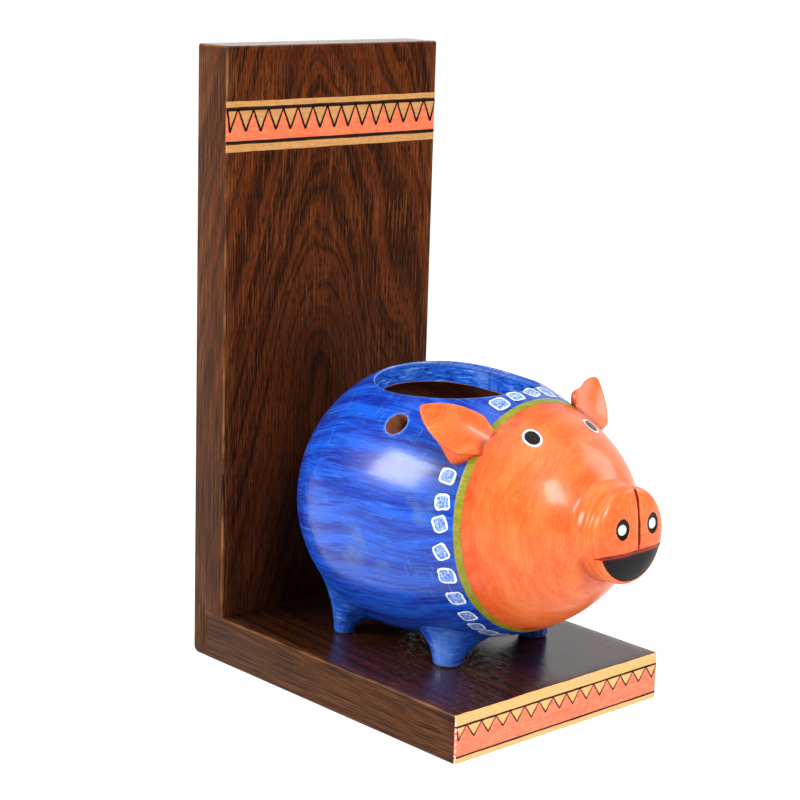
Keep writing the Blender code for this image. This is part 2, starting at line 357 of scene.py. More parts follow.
class Shader:
    """One Principled material and the nodes that feed it."""

    def __init__(self, name, roughness, specular=0.3, coat=0.0, coat_roughness=0.15, metallic=0.0):
        self.material = bpy.data.materials.new(name)
        self.material.use_nodes = True
        self.tree = self.material.node_tree
        self.principled = self.tree.nodes["Principled BSDF"]
        self.principled.inputs["Roughness"].default_value = roughness
        self.principled.inputs["Specular IOR Level"].default_value = specular
        self.principled.inputs["Metallic"].default_value = metallic
        self.principled.inputs["Coat Weight"].default_value = coat
        self.principled.inputs["Coat Roughness"].default_value = coat_roughness

    def node(self, kind, **settings):
        node = self.tree.nodes.new(kind)
        for key, value in settings.items():
            setattr(node, key, value)
        return node

    def put(self, socket, value):
        """Links a socket to another's output, or sets its value."""
        if isinstance(value, bpy.types.NodeSocket):
            self.tree.links.new(value, socket)
        else:
            socket.default_value = value

    def position(self):
        return self.node("ShaderNodeTexCoord").outputs["Object"]

    def millimetres(self, stretch=(1.0, 1.0, 1.0)):
        """The place on the object in millimetres, each axis stretched."""
        return self.vector("MULTIPLY", self.position(), tuple(1 / MM * share for share in stretch))

    def attribute(self, name):
        return self.node("ShaderNodeAttribute", attribute_name=name).outputs["Fac"]

    def vector(self, operation, a, b):
        node = self.node("ShaderNodeVectorMath", operation=operation)
        self.put(node.inputs[0], a)
        self.put(node.inputs[1], b)
        return node.outputs["Value" if operation == "DOT_PRODUCT" else "Vector"]

    def dot(self, a, b):
        return self.vector("DOT_PRODUCT", a, tuple(b))

    def math(self, operation, a, b=0.0):
        node = self.node("ShaderNodeMath", operation=operation)
        self.put(node.inputs[0], a)
        self.put(node.inputs[1], b)
        return node.outputs[0]

    def times(self, a, b):
        return self.math("MULTIPLY", a, b)

    def plus(self, a, b):
        return self.math("ADD", a, b)

    def minus(self, a, b):
        return self.math("SUBTRACT", a, b)

    def combine(self, x, y, z=0.0):
        node = self.node("ShaderNodeCombineXYZ")
        for socket, value in zip(node.inputs, (x, y, z)):
            self.put(socket, value)
        return node.outputs[0]

    def noise(self, vector, scale, detail, roughness=0.5, distortion=0.0):
        node = self.node("ShaderNodeTexNoise")
        self.put(node.inputs["Vector"], vector)
        self.put(node.inputs["Scale"], scale)
        self.put(node.inputs["Detail"], detail)
        self.put(node.inputs["Roughness"], roughness)
        self.put(node.inputs["Distortion"], distortion)
        return node.outputs["Fac"]

    def spread(self, value, low, high, to_low=0.0, to_high=1.0):
        """Maps a range of a value to another, smoothly and clamped."""
        node = self.node("ShaderNodeMapRange", interpolation_type="SMOOTHSTEP")
        for socket, number in zip(node.inputs, (value, low, high, to_low, to_high)):
            self.put(socket, number)
        return node.outputs[0]

    def mix(self, share, a, b):
        node = self.node("ShaderNodeMix", data_type="RGBA")
        self.put(node.inputs["Factor"], share)
        self.put(node.inputs[6], a)
        self.put(node.inputs[7], b)
        return node.outputs[2]

    def tint(self, colour, field, low, high, share, over):
        """Puts the screen colour over on a colour, up to a share, as a field runs from low to high."""
        return self.mix(self.spread(field, low, high, 0.0, share), colour, srgb(*over))

    def bump(self, height, depth, strength):
        node = self.node("ShaderNodeBump")
        self.put(node.inputs["Strength"], strength)
        self.put(node.inputs["Distance"], depth)
        self.put(node.inputs["Height"], height)
        self.put(self.principled.inputs["Normal"], node.outputs["Normal"])

    def finish(self, colour, roughness=None):
        self.put(self.principled.inputs["Base Color"], colour)
        if roughness is not None:
            self.put(self.principled.inputs["Roughness"], roughness)
        return self.material

    def pig_coordinates(self):
        """(distance round the pig, distance along it), in millimetres."""
        offset = self.vector("SUBTRACT", self.position(), tuple(PLACE))
        turn = self.math("ARCTAN2", self.dot(offset, -ACROSS), self.dot(offset, UP))
        return self.times(turn, BRUSH_RADIUS), self.times(self.dot(offset, AHEAD), 1 / MM)


# ---- materials ----


def streaks(shader, across, along, fineness, length, seed, detail=5.0):
    """Noise drawn out into brush strokes: quick across them and slow along them."""
    x = shader.times(across, fineness)
    y = shader.times(along, length)
    return shader.noise(shader.combine(x, y, seed), 1.0, detail, 0.62)


def blue_paint():
    """Blue brushed along the pig over a paler coat, under satin varnish."""
    shader = Shader("blue_paint", roughness=0.32, specular=0.3, coat=0.3, coat_roughness=0.13)
    around, along = shader.pig_coordinates()
    place = shader.millimetres()
    drift = shader.times(shader.noise(place, 0.02, 1.0), 10.0)
    across = shader.plus(around, drift)
    broad = streaks(shader, across, along, 0.22, 0.022, 1.0, 3.0)
    lines = streaks(shader, across, along, 0.95, 0.045, 2.0)
    fine = streaks(shader, across, along, 3.0, 0.11, 4.0, 3.0)
    cross = streaks(shader, along, around, 0.8, 0.10, 9.0)
    patches = shader.noise(place, 0.045, 3.0, 0.55)
    pits = shader.noise(place, 0.9, 2.0, 0.5)
    colour = shader.mix(shader.spread(broad, 0.36, 0.62), srgb(4, 38, 148), srgb(12, 84, 202))
    colour = shader.tint(colour, lines, 0.54, 0.74, 0.45, (50, 130, 222))
    colour = shader.tint(colour, lines, 0.48, 0.33, 0.8, (4, 26, 116))
    colour = shader.tint(colour, fine, 0.57, 0.76, 0.42, (106, 174, 238))
    crossing = shader.times(shader.spread(cross, 0.56, 0.74), shader.spread(patches, 0.56, 0.40))
    colour = shader.mix(shader.times(crossing, 0.35), colour, srgb(120, 170, 242))
    colour = shader.tint(colour, patches, 0.60, 0.72, 0.35, (96, 122, 158))
    colour = shader.tint(colour, pits, 0.34, 0.27, 0.8, (12, 20, 54))
    # Painted shade: the blue turns dark grey-blue behind the ears and round the tops of the legs.
    blue_crease_shade = shader.times(shader.attribute("crease_shade"), shader.spread(lines, 0.35, 0.6, 1.0, 0.5))
    colour = shader.mix(blue_crease_shade, colour, srgb(34, 36, 58))
    daubs = shader.noise(shader.millimetres((0.20, 0.20, 1.0)), 1.0, 5.0, 0.66, 0.6)
    daubed = shader.mix(shader.spread(daubs, 0.36, 0.54), srgb(8, 40, 142), srgb(34, 104, 220))
    daubed = shader.tint(daubed, daubs, 0.54, 0.70, 0.7, (140, 192, 242))
    daubed = shader.tint(daubed, patches, 0.48, 0.66, 0.5, (120, 160, 226))
    colour = shader.mix(shader.attribute("daubed"), colour, daubed)
    worn = shader.times(shader.attribute("worn"), shader.spread(fine, 0.3, 0.55, 0.45, 1.0))
    colour = shader.mix(worn, colour, srgb(140, 184, 238))
    height = shader.plus(shader.times(lines, 0.6), shader.times(fine, 0.4))
    shader.bump(height, 0.10 * MM, 0.6)
    return shader.finish(colour, shader.spread(fine, 0.3, 0.7, 0.24, 0.36))


def orange_paint():
    """Orange brushed round the snout, redder toward the seam, and darkened in the creases as painted shade.
    """
    shader = Shader("orange_paint", roughness=0.34, specular=0.25, coat=0.25, coat_roughness=0.14)
    around, along = shader.pig_coordinates()
    place = shader.millimetres()
    drift = shader.times(shader.noise(place, 0.03, 2.0), 8.0)
    across = shader.plus(along, drift)
    broad = streaks(shader, across, around, 0.25, 0.03, 1.0, 3.0)
    lines = streaks(shader, across, around, 2.4, 0.09, 2.0)
    fine = streaks(shader, across, around, 5.2, 0.22, 3.0, 3.0)
    smears_and_shade_spots = shader.noise(place, 0.075, 4.0, 0.6)
    colour = shader.mix(shader.spread(broad, 0.38, 0.64), srgb(232, 98, 38), srgb(240, 118, 56))
    colour = shader.tint(colour, lines, 0.54, 0.76, 0.55, (250, 144, 88))
    colour = shader.tint(colour, lines, 0.46, 0.30, 0.5, (220, 78, 28))
    colour = shader.tint(colour, fine, 0.56, 0.72, 0.55, (252, 160, 102))
    colour = shader.tint(colour, fine, 0.45, 0.30, 0.5, (204, 70, 26))
    colour = shader.tint(colour, smears_and_shade_spots, 0.60, 0.74, 0.45, (206, 60, 24))
    redder = shader.times(shader.attribute("redder"), shader.spread(smears_and_shade_spots, 0.35, 0.6, 1.0, 0.35))
    colour = shader.mix(redder, colour, srgb(208, 56, 20))
    # Painted shade: dark brown-red under the snout's root, on the ears near the pot and on their backs.
    orange_crease_shade = shader.times(shader.attribute("crease_shade"), shader.spread(lines, 0.3, 0.62, 1.0, 0.5))
    colour = shader.mix(orange_crease_shade, colour, srgb(140, 40, 20))
    shader.bump(shader.plus(lines, fine), 0.07 * MM, 0.55)
    return shader.finish(colour, shader.spread(fine, 0.3, 0.7, 0.27, 0.38))


def terracotta():
    """Bare fired clay inside the pot, with throwing lines."""
    shader = Shader("terracotta", roughness=0.85)
    around, along = shader.pig_coordinates()
    place = shader.millimetres()
    grain = shader.noise(place, 1.4, 4.0, 0.6)
    turned = shader.combine(shader.times(around, 0.03), shader.times(along, 0.5))
    rings = shader.noise(turned, 1.0, 3.0)
    colour = shader.mix(shader.spread(rings, 0.35, 0.65), srgb(132, 76, 50), srgb(172, 112, 80))
    colour = shader.tint(colour, grain, 0.35, 0.7, 0.4, (110, 62, 42))
    shader.bump(shader.plus(grain, rings), 0.25 * MM, 0.7)
    return shader.finish(colour)


def brushed_coat(name, dark, light, roughness, specular=0.3):
    """A flat decorative paint with faint brush marks and an uneven cover."""
    shader = Shader(name, roughness=roughness, specular=specular)
    marks = shader.noise(shader.millimetres((0.12, 0.4, 2.6)), 1.0, 4.0, 0.6)
    blots = shader.noise(shader.millimetres(), 0.5, 3.0, 0.6)
    cover = shader.plus(shader.times(marks, 0.6), shader.times(blots, 0.4))
    colour = shader.mix(shader.spread(cover, 0.36, 0.64), dark, light)
    shader.bump(cover, 0.06 * MM, 0.6)
    return shader.finish(colour)


def wash_paint():
    """The thin pale wash inside a white mark, with the blue showing through its strokes."""
    shader = Shader("pale_wash", roughness=0.34)
    strokes = shader.noise(shader.millimetres((0.7, 1.9, 1.3)), 1.0, 5.0, 0.65, 0.8)
    colour = shader.mix(shader.spread(strokes, 0.40, 0.66), srgb(40, 92, 206), srgb(188, 214, 246))
    return shader.finish(colour)


def hardwood(name, along, across, out, heart, cathedral, shade, tone=1.0):
    """Dark-stained open-pored hardwood; along, across and out are the board's own directions.

    heart is where the arches of the figure centre, as (across, along) in millimetres; cathedral
    is how steeply the growth rings rise along the board; shade is the stretch over which painted
    shade darkens the wood toward the inner corner of the stand; tone makes the whole board darker.
    """
    shader = Shader(name, roughness=0.36)
    place = shader.millimetres()
    u, v, w = (shader.dot(place, direction) for direction in (across, along, out))
    slow = shader.combine(shader.times(u, 0.035), shader.times(v, 0.010), shader.times(w, 0.03))
    bend = shader.times(shader.minus(shader.noise(slow, 1.0, 3.0), 0.5), 16.0)
    side = shader.minus(shader.plus(u, bend), heart[0])
    spread = shader.math("SQRT", shader.plus(shader.times(side, side), 40.0))
    knot_u = shader.times(side, 1 / 17.0)
    knot_v = shader.times(shader.minus(v, heart[1]), 1 / 30.0)
    distance = shader.plus(shader.times(knot_u, knot_u), shader.times(knot_v, knot_v))
    knot = shader.math("EXPONENT", shader.times(distance, -1.0))
    rings = shader.plus(spread, shader.times(v, cathedral))
    rings = shader.plus(rings, shader.times(knot, -14.0))
    rings = shader.plus(rings, shader.plus(bend, w))
    bands = streaks(shader, rings, v, 0.34, 0.003, 2.0, 4.0)
    thread = shader.plus(shader.plus(u, w), shader.times(bend, 0.3))
    fibre = streaks(shader, thread, v, 2.1, 0.04, 5.0)
    pores = streaks(shader, thread, v, 2.6, 0.22, 7.0, 2.0)
    dark, middle, light, core = (
        [level * tone for level in stain] for stain in ((36, 15, 6), (88, 40, 15), (140, 74, 30), (38, 15, 8))
    )
    heartwood = shader.times(shader.spread(spread, 34.0, 8.0), shader.spread(v, heart[1] + 55.0, heart[1]))
    colour = shader.mix(shader.spread(bands, 0.33, 0.60), srgb(*dark), srgb(*middle))
    colour = shader.tint(colour, fibre, 0.50, 0.70, 0.75, light)
    colour = shader.tint(colour, fibre, 0.47, 0.32, 0.65, dark)
    colour = shader.mix(shader.times(heartwood, 0.45), colour, srgb(*core))
    # Painted shade: the wood darkens toward the inner corner of the stand.
    colour = shader.tint(colour, v, *shade, 0.62, (18, 7, 6))
    colour = shader.tint(colour, pores, 0.46, 0.38, 0.85, (15, 7, 4))
    # The ends show cut pores, the narrow sides are darkened as painted shade, and the level faces more shine.
    normal = shader.node("ShaderNodeNewGeometry").outputs["Normal"]
    sideways = shader.math("ABSOLUTE", shader.dot(normal, (1, 0, 0)))
    endward = shader.math("ABSOLUTE", shader.dot(normal, along))
    level = shader.spread(shader.dot(normal, (0, 0, 1)), 0.3, 0.9)
    cut_pores = shader.noise(place, 1.6, 3.0, 0.6)
    end_grain = shader.mix(shader.spread(bands, 0.36, 0.62), srgb(74, 44, 24), srgb(120, 84, 54))
    end_grain = shader.tint(end_grain, cut_pores, 0.44, 0.36, 0.8, (34, 18, 10))
    colour = shader.mix(shader.spread(endward, 0.6, 0.95), colour, end_grain)
    # Painted shade: the narrow side faces turn dark brown.
    colour = shader.tint(colour, sideways, 0.3, 0.9, 0.4, (48, 27, 16))
    gloss = shader.plus(shader.spread(sideways, 0.3, 0.9, 0.03, 0.07), shader.times(level, 0.42))
    shader.put(shader.principled.inputs["Specular IOR Level"], gloss)
    worn = shader.times(shader.attribute("worn"), shader.spread(fibre, 0.35, 0.62))
    colour = shader.mix(worn, colour, srgb(150, 98, 58))
    shader.bump(shader.plus(shader.spread(pores, 0.30, 0.42), fibre), 0.09 * MM, 0.5)
    matt = shader.spread(fibre, 0.3, 0.7, 0.33, 0.42)
    return shader.finish(colour, shader.minus(matt, shader.times(level, 0.2)))


# ---- the stand ----


def inset_corners(corners, inset):
    """The same corners, listed clockwise, moved inward from both of their sides."""
    moved_in = []
    for i, corner in enumerate(corners):
        before = np.array(corner) - corners[i - 1]
        after = np.array(corners[(i + 1) % len(corners)]) - corner
        a = np.array([before[1], -before[0]]) / np.linalg.norm(before)
        b = np.array([after[1], -after[0]]) / np.linalg.norm(after)
        moved_in.append(np.array(corner) + inset * (a + b) / (1 + a @ b))
    return moved_in


def board_ring(corners, radii, splits, inset):
    """An outline through corners, each with its own rounding, and long sides split up."""
    corners = inset_corners(corners, inset)
    arcs = []
    for i, (corner, radius) in enumerate(zip(corners, radii)):
        before = corners[i - 1] - corner
        after = corners[(i + 1) % len(corners)] - corner
        a = before / np.linalg.norm(before) * radius
        b = after / np.linalg.norm(after) * radius
        turns = np.linspace(0.0, math.pi / 2, 6)
        arcs.append([corner + a + b - b * math.cos(turn) - a * math.sin(turn) for turn in turns])
    points = []
    for i, (arc, pieces) in enumerate(zip(arcs, splits)):
        following = arcs[(i + 1) % len(arcs)][0]
        points += arc
        points += [blend(arc[-1], following, j / pieces) for j in range(1, pieces)]
    return np.array(points)


def board_mesh(name, corners, radii):
    """A board with an outline in YZ, run across X, with rounded edges."""
    sides = [math.dist(corner, corners[(i + 1) % len(corners)]) for i, corner in enumerate(corners)]
    splits = [max(1, int(side / (4 * MM))) for side in sides]
    turns = np.linspace(0.0, math.pi / 2, 5)
    ends = [(EDGE_ROUND * (1 - math.cos(a)), EDGE_ROUND * (1 - math.sin(a))) for a in turns]
    stations = [(-HALF_WIDTH + along, inset) for along, inset in ends]
    stations += [(x, 0.0) for x in np.linspace(-HALF_WIDTH + 5 * MM, HALF_WIDTH - 5 * MM, 24)]
    stations += [(HALF_WIDTH - along, inset) for along, inset in ends[::-1]]
    rows = []
    for x, inset in stations:
        ring = board_ring(corners, radii, splits, inset)
        rows.append(np.column_stack([np.full(len(ring), x), ring]))
    mesh = grid_mesh(name, rows)

    def close_ends(bm):
        bm.verts.ensure_lookup_table()
        size = len(rows[0])
        for start in (0, len(bm.verts) - size):
            bm.faces.new([bm.verts[start + i] for i in range(size)])
        bmesh.ops.recalc_face_normals(bm, faces=bm.faces)

    return edit(mesh, close_ends)


def mark_board_edges(mesh, corners):
    """Stores how close each point is to a worn edge of the board."""
    points = vertex_places(mesh)
    worn = np.zeros(len(points))
    side = HALF_WIDTH - abs(points[:, 0])
    for a, b in zip(corners, corners[1:] + corners[:1]):
        a, b = np.array(a), np.array(b)
        direction = (b - a) / np.linalg.norm(b - a)
        offset = points[:, 1:] - a
        depth = abs(offset[:, 0] * direction[1] - offset[:, 1] * direction[0])
        worn = np.maximum(worn, 1.3 - np.hypot(depth, side) / (0.8 * MM))
    chips = 0.7 + 0.5 * ripple((points[:, 1] + points[:, 2]) / (7 * MM), 1.7)
    store(mesh, "worn", np.clip(worn, 0, 1) * np.clip(chips, 0, 1))


def make_stand():
    x, y, z = (1, 0, 0), (0, 1, 0), (0, 0, 1)
    upright_wood = hardwood("upright_wood", z, x, y, (-6.0, 112.0), 0.34, (150.0, 20.0))
    # The base is the upright's wood made darker by its tone, as painted shade over the base.
    base_wood = hardwood("base_wood", y, x, z, (18.0, 60.0), 0.10, (-30.0, 60.0), 0.72)
    seat = BASE_HIGH[1]
    # How far the corners are rounded: worn edges, the heel at the back and corners in the joint.
    edge, heel, tight = EDGE_ROUND, 2.4 * MM, 0.03 * MM
    upright = [(UPRIGHT_FACE, HEIGHT), (BACK, HEIGHT), (BACK, 0.0)]
    upright += [(seat, 0.0), (seat, BASE_TOP), (UPRIGHT_FACE, BASE_TOP)]
    base = [(FRONT, BASE_TOP - tight), (seat - tight, BASE_TOP - tight), (seat - tight, 0.0), (FRONT, 0.0)]
    upright_mesh = board_mesh("upright_board", upright, (edge, edge, heel, tight, tight, tight))
    for side in ("left", "right"):
        low, high = node_box("joint_screw_" + side)
        centre = ((low[0] + high[0]) / 2, BACK, (low[2] + high[2]) / 2)
        upright_mesh = drilled(upright_mesh, centre, (0, 1, 0), (high[0] - low[0]) / 2 + 0.1 * MM, 3.4 * MM)
    base_mesh = board_mesh("base_board", base, (edge, tight, tight, edge))
    boards = (("upright", upright_mesh, upright, upright_wood), ("base", base_mesh, base, base_wood))
    for name, mesh, corners, wood in boards:
        mark_board_edges(mesh, corners)
        piece(name, smooth(mesh, 30.0), [wood], [name + "_board"])


def coat_bonds():
    """Gives the four pads of glue under the feet, kept from the frame, their cured resin."""
    shader = Shader("cured_epoxy", roughness=0.22)
    clouds = shader.noise(shader.millimetres(), 0.35, 4.0, 0.6)
    colour = shader.mix(shader.spread(clouds, 0.35, 0.65), srgb(120, 92, 52), srgb(186, 158, 104))
    shader.bump(clouds, 0.08 * MM, 0.6)
    material = shader.finish(colour, shader.spread(clouds, 0.3, 0.7, 0.16, 0.34))
    for name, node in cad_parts.items():
        if name.startswith("foot_bond"):
            node.data.materials.clear()
            node.data.materials.append(material)


def make_screws():
    """The two screw heads in the back, each with a cross recess."""
    steel = Shader("screw_steel", roughness=0.34, metallic=1.0)
    scratches = steel.noise(steel.millimetres((6.0, 1.0, 1.4)), 1.0, 4.0)
    colour = steel.mix(scratches, srgb(120, 118, 112), srgb(196, 194, 188))
    steel.bump(scratches, 0.03 * MM, 0.5)
    material = steel.finish(colour)
    for side in ("left", "right"):
        name = "joint_screw_" + side
        low, high = node_box(name)
        centre = (low + high) / 2
        radius = (high[0] - low[0]) / 2
        shank = radius / 2
        angle = ring_angles(96)
        # Eight sectors: the four arms of the recess sink and the rest of the head stays flat.
        arm = np.maximum(abs(np.cos(angle)), abs(np.sin(angle))) > math.cos(math.radians(17))
        profile = [(0.0, 0.0), (0.25, 0.0), (0.55, 0.0), (0.6, 0.0), (0.93, 0.0), (1.0, 0.04)]
        rows = []
        for share, drop in profile:
            sunk = 0.9 * MM * np.where(share < 0.58, np.where(arm | (share < 0.2), 1.0, 0.0), 0.0)
            rows.append(screw_ring(centre, high[1], share * radius, drop * radius + sunk, angle))
        length = high[1] - low[1]
        for reach, drop in ((shank, radius - shank + 0.6 * MM), (shank, length), (0.0, length)):
            rows.append(screw_ring(centre, high[1], reach, np.full(96, drop), angle))
        piece("screw_" + side, smooth(weld(grid_mesh(name, rows)), 30.0), [material], [name])


def screw_ring(centre, face, radius, drop, angle):
    x = centre[0] + radius * np.cos(angle)
    z = centre[2] + radius * np.sin(angle)
    return np.stack([x, face - drop, z], axis=-1)


# ---- the pot ----


def dome_rows(rim, centre, count, shrink=0.0, front=EGG_FRONT):
    """Rows of egg surface from the rim down to the belly's pole, fanned out from the mouth's centre."""
    offset = rim - centre
    start = np.arctan2(np.hypot(offset[:, 0], offset[:, 1]), offset[:, 2])
    azimuth = np.arctan2(offset[:, 1], offset[:, 0])
    rows = []
    for share in np.linspace(0.0, 1.0, count) ** 1.15:
        tilt = blend(start, math.pi, share)
        level = np.sin(tilt)
        direction = np.stack([level * np.cos(azimuth), level * np.sin(azimuth), np.cos(tilt)], axis=1)
        points = hit_egg(centre, direction, shrink, front)
        points = points + direction * wobble(points)[:, None]
        rows.append(points if shrink else lip_raise(points))
    return rows


def bare_strip(points):
    """How high the bare clay shows above the foot of the mouth's wall, where the brush stopped."""
    turn = np.arctan2(points[..., 1] - MOUTH_CENTRE[1], points[..., 0] - MOUTH_CENTRE[0])
    return (0.30 + 0.16 * ripple(4.0 * turn, 0.6) + 0.10 * ripple(13.0 * turn, 1.9)) * MM


def pot_mesh():
    """The whole shell as one closed surface: hollow, wall of the mouth and outside."""
    columns = 288
    rim = mouth_rim(columns)
    inner_rim = mouth_rim(columns, WALL, HOLLOW_FRONT)
    centre = np.array([*MOUTH_CENTRE, PLACE[2]])
    outer = dome_rows(rim, centre, 120)
    inner = dome_rows(inner_rim, centre, 44, WALL, HOLLOW_FRONT)
    corner, foot = outer[0], inner[0]
    length = np.linalg.norm(foot - corner, axis=1)[:, None]
    down = (foot - corner) / length
    soft = 1.1 * MM
    brushed = corner + down * (length - bare_strip(foot)[:, None])
    edge = bezier(corner + down * soft, corner, outer[2], 7)
    wall = [blend(foot, brushed, t) for t in np.linspace(0.0, 1.0, 4)[:-1]]
    wall += [blend(brushed, corner + down * soft, t) for t in np.linspace(0.0, 1.0, 12)[:-1]]
    rows = inner[::-1][:-1] + wall + edge + outer[3:]
    return weld(grid_mesh("pot", rows))


def hole_centre():
    radius = EGG_RADIUS - WALL / 2
    return from_pig(-radius * math.sin(HOLE_TURN), radius * math.cos(HOLE_TURN), HOLE_AT)


def hole_distance(points):
    """How far points are from the axis of the flank hole; those on the other side are very far."""
    outward = from_pig(-math.sin(HOLE_TURN), math.cos(HOLE_TURN), 0.0) - PLACE
    offset = points - hole_centre()
    axial = offset @ outward
    radial = np.linalg.norm(offset - axial[:, None] * outward, axis=1)
    return np.where(axial > -WALL, radial, 1.0)


def depth_in_wall(points):
    x, up, ahead = to_pig(points)
    return egg_radius(ahead) - np.hypot(x, up)


def make_body(blue, clay):
    outward = from_pig(-math.sin(HOLE_TURN), math.cos(HOLE_TURN), 0.0) - PLACE
    mesh = drilled(pot_mesh(), hole_centre(), outward, HOLE_RADIUS, 15 * MM)

    def trim(bm):
        geometry = list(bm.verts) + list(bm.edges) + list(bm.faces)
        plane = from_pig(0.0, 0.0, SEAM)
        bmesh.ops.bisect_plane(bm, geom=geometry, plane_co=plane, plane_no=AHEAD, clear_outer=True)

    edit(mesh, trim)
    for material in (blue, clay):
        mesh.materials.append(material)
    centres = face_centres(mesh)
    foot = mouth_rim(720, WALL, HOLLOW_FRONT)
    nearest = [np.argmin(np.hypot(*(foot[:, :2] - centre[:2]).T)) for centre in centres]
    off_wall = np.linalg.norm(foot[nearest, :2] - centres[:, :2], axis=1)
    on_wall_face = (off_wall < 0.3 * MM) & (centres[:, 2] > foot[nearest, 2])
    in_hole = (hole_distance(centres) < HOLE_RADIUS + 0.05 * MM) & (depth_in_wall(centres) > 0.6 * MM)
    bare = np.where(
        on_wall_face,
        centres[:, 2] < foot[nearest, 2] + bare_strip(centres),
        (depth_in_wall(centres) > WALL / 2) | in_hole,
    )
    mesh.polygons.foreach_set("material_index", bare.astype(np.int32))
    mark_pot_edges(mesh)
    points = vertex_places(mesh)
    # Painted shade on the body behind each ear, where the ear shades it.
    smears_and_shade_spots = [egg_surface(59.0 * MM, side * math.radians(62)) for side in (1, -1)]
    reach = np.min([np.linalg.norm(points - smear, axis=1) for smear in smears_and_shade_spots], axis=0)
    store(mesh, "crease_shade", 0.85 * np.exp(-((reach / (8.5 * MM)) ** 3)))
    smooth(mesh, 40.0)
    piece("body", mesh, [], ["body_shell"])


def mark_pot_edges(mesh):
    """Stores how close each point is to the rim's corner or to the small hole, where the paint is thin."""
    points = vertex_places(mesh)
    depth = depth_in_wall(points)
    xy = mouth_outline(360)
    to_rim = np.array([np.min(np.hypot(*(xy - point[:2]).T)) for point in points])
    above = points[:, 2] > PLACE[2]
    rim = np.where(above, 0.75 - np.hypot(to_rim, depth) / (1.1 * MM), 0.0)
    wall = above & (to_rim < 0.3 * MM)
    hole = 0.6 - abs(hole_distance(points) - HOLE_RADIUS) / (1.1 * MM)
    hole = np.where(depth < 1.5 * MM, hole, 0.0)
    store(mesh, "worn", np.clip(np.maximum(rim, hole), 0, 1) * 0.85)
    store(mesh, "daubed", wall * smoothstep(0.4 * MM, 1.4 * MM, depth))


def snout_place(x, up, ahead):
    """A point of the snout, a little lower than the pig's axis and with its face nodding down."""
    drop = SNOUT_DROP * smoothstep(88 * MM, 98 * MM, ahead) + SNOUT_NOD * np.maximum(0.0, ahead - SNOUT_ROOT)
    lean = SNOUT_NOD * up * smoothstep(SNOUT_ROOT, SNOUT_ROOT + 6 * MM, ahead)
    return from_pig(x, up - drop, ahead + lean)


def head_profile():
    """(radius, distance) from the seam forward, with a soft hollow where the snout joins."""
    join = SNOUT_ROOT - 1.3 * MM
    ahead = np.linspace(SEAM, join, 64)
    rows = list(zip(egg_radius(ahead), ahead))
    start = np.array(rows[-1])
    corner = np.array([SNOUT_RADIUS, SNOUT_ROOT])
    end = np.array([SNOUT_RADIUS, SNOUT_ROOT + FILLET])
    return rows + [tuple(p) for p in bezier(start, corner, end, 8)[1:]]


def make_head(orange, clay):
    turn = ring_angles(256)
    rows = []
    for radius, ahead in head_profile():
        points = snout_place(-radius * np.sin(turn), radius * np.cos(turn), ahead)
        out = round_pig(1.0, turn, 0.0) - PLACE
        fade = 1 - smoothstep(88 * MM, 96 * MM, ahead)
        rows.append(lip_raise(points + out * (wobble(points) * fade)[:, None]))
    lining = []
    for ahead in np.linspace(EGG_MIDDLE + HOLLOW_FRONT - 0.1 * MM, SEAM, 24):
        radius = float(egg_radius(ahead, WALL, HOLLOW_FRONT))
        lining.append(round_pig(radius, turn, ahead))
    mesh = weld(grid_mesh("head", lining + rows))
    _, up, ahead = to_pig(vertex_places(mesh))
    # Painted shade in the hollow where the snout joins the head, deepest on its underside.
    crease_shade = 0.55 * (1 - smoothstep(0.0, 3.0 * MM, abs(ahead - SNOUT_ROOT - 0.5 * MM)))
    store(mesh, "crease_shade", crease_shade * np.clip(0.35 - up / (30 * MM), 0, 1))
    store(mesh, "redder", 1 - smoothstep(SEAM + 1 * MM, SEAM + 11 * MM, ahead))
    for material in (orange, clay):
        mesh.materials.append(material)
    centres = face_centres(mesh)
    inside = depth_in_wall(centres) > WALL / 2
    mesh.polygons.foreach_set("material_index", inside.astype(np.int32))
    smooth(mesh, 60.0)
    piece("head", mesh, [], ["head_shell"])


def snout_depth(x, up):
    """How far the tool pressed the clay in: the groove, the step under the lip and the nostrils."""
    groove = 0.9 * np.exp(-(((x - GROOVE_X) / (0.42 * MM)) ** 2)) * smoothstep(LIP_UP, LIP_UP + 1 * MM, up)
    step = 0.55 * smoothstep(LIP_UP + 0.2 * MM, LIP_UP - 0.8 * MM, up)
    inside = 1 - smoothstep(14.6 * MM, 16.2 * MM, np.hypot(x, up))
    nostrils = 0.0
    for place in NOSTRILS:
        reach = np.hypot(x - place[0], up - place[1]) / (3.2 * MM)
        nostrils = nostrils + 0.4 * np.exp(-(reach**4))
    return (groove + step * inside + nostrils) * MM


def snout_face(x, up, lift=0.0):
    """A point on the snout's front at a place across and up from its centre."""
    reach = np.clip(np.hypot(x, up) / SNOUT_RADIUS, 0.0, 0.9995)
    ahead = SNOUT_END - SNOUT_ROUND * (1 - (1 - reach**SNOUT_POWER) ** (1 / SNOUT_POWER))
    return snout_place(x, up, ahead - snout_depth(x, up) + lift)


